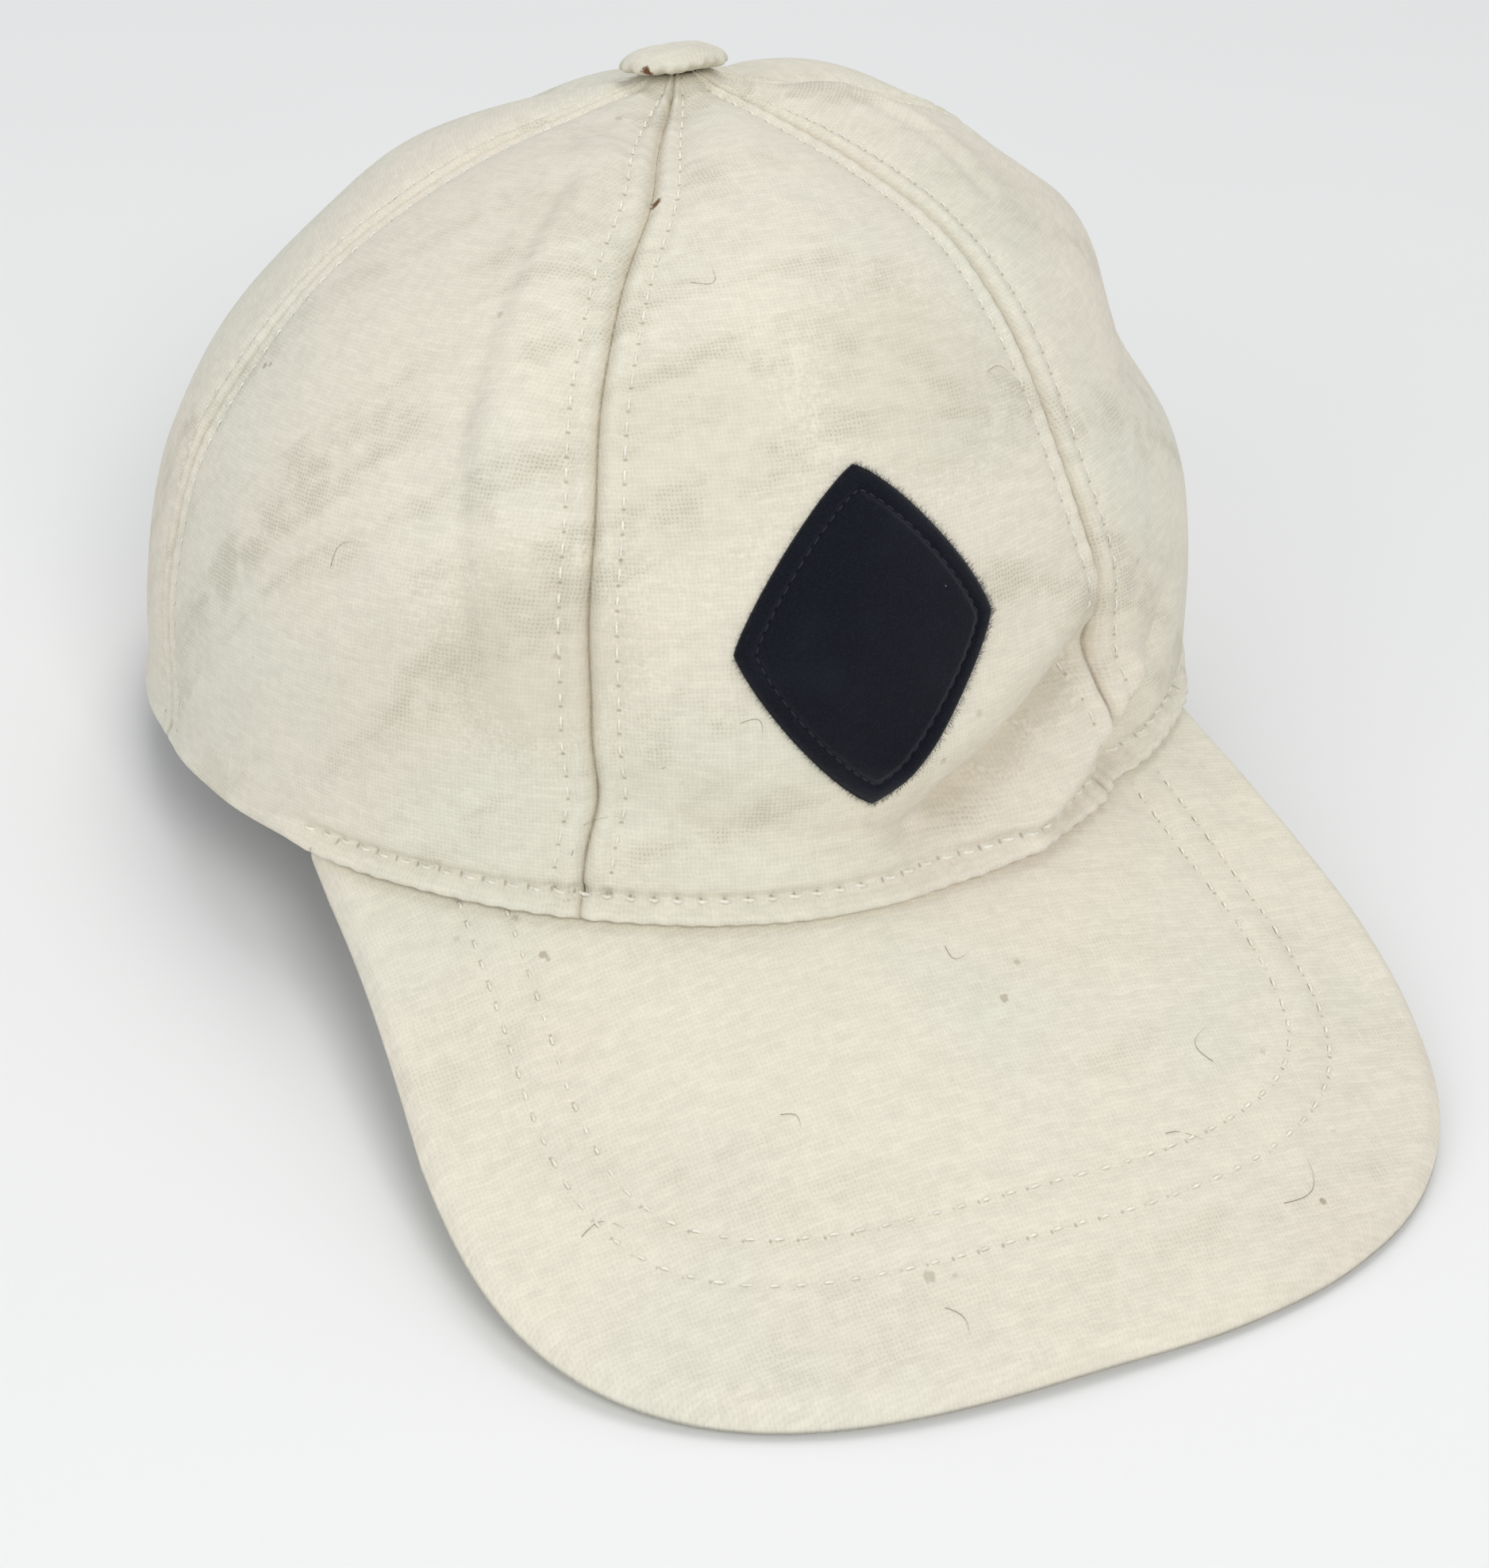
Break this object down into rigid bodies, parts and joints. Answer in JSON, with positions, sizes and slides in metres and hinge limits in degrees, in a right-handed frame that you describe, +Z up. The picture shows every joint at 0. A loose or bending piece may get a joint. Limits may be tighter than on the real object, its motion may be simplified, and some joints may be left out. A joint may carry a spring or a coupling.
{
  "type": "baseball cap",
  "caption": "Soft wool baseball cap with sewn wedge panels, a covered top button, a long curved peak and a plain felt lozenge on the front.",
  "frame": {"origin": "centre of the cap's outline on the floor, with the cap lying as it rests by itself", "axes": "+Z up from the floor, -Y the way the peak points, +X towards the wearer's left"},
  "size_m": [0.1854, 0.2636, 0.1281],
  "materials": {
    "cream_wool": "woven wool flannel, ivory, with grey and beige flecks",
    "navy_felt": "dense dark navy felt with a sewn edge",
    "rivet_metal": "plain nickel-plated steel"
  },
  "bodies": {
    "root": {"front_panel": "cream_wool", "left_front_panel": "cream_wool", "left_back_panel": "cream_wool", "back_panel": "cream_wool", "right_back_panel": "cream_wool", "right_front_panel": "cream_wool", "peak_top_cover": "cream_wool", "peak_under_cover": "cream_wool", "top_button": "cream_wool", "button_rivet": "rivet_metal", "front_patch": "navy_felt"}
  },
  "joints": []
}
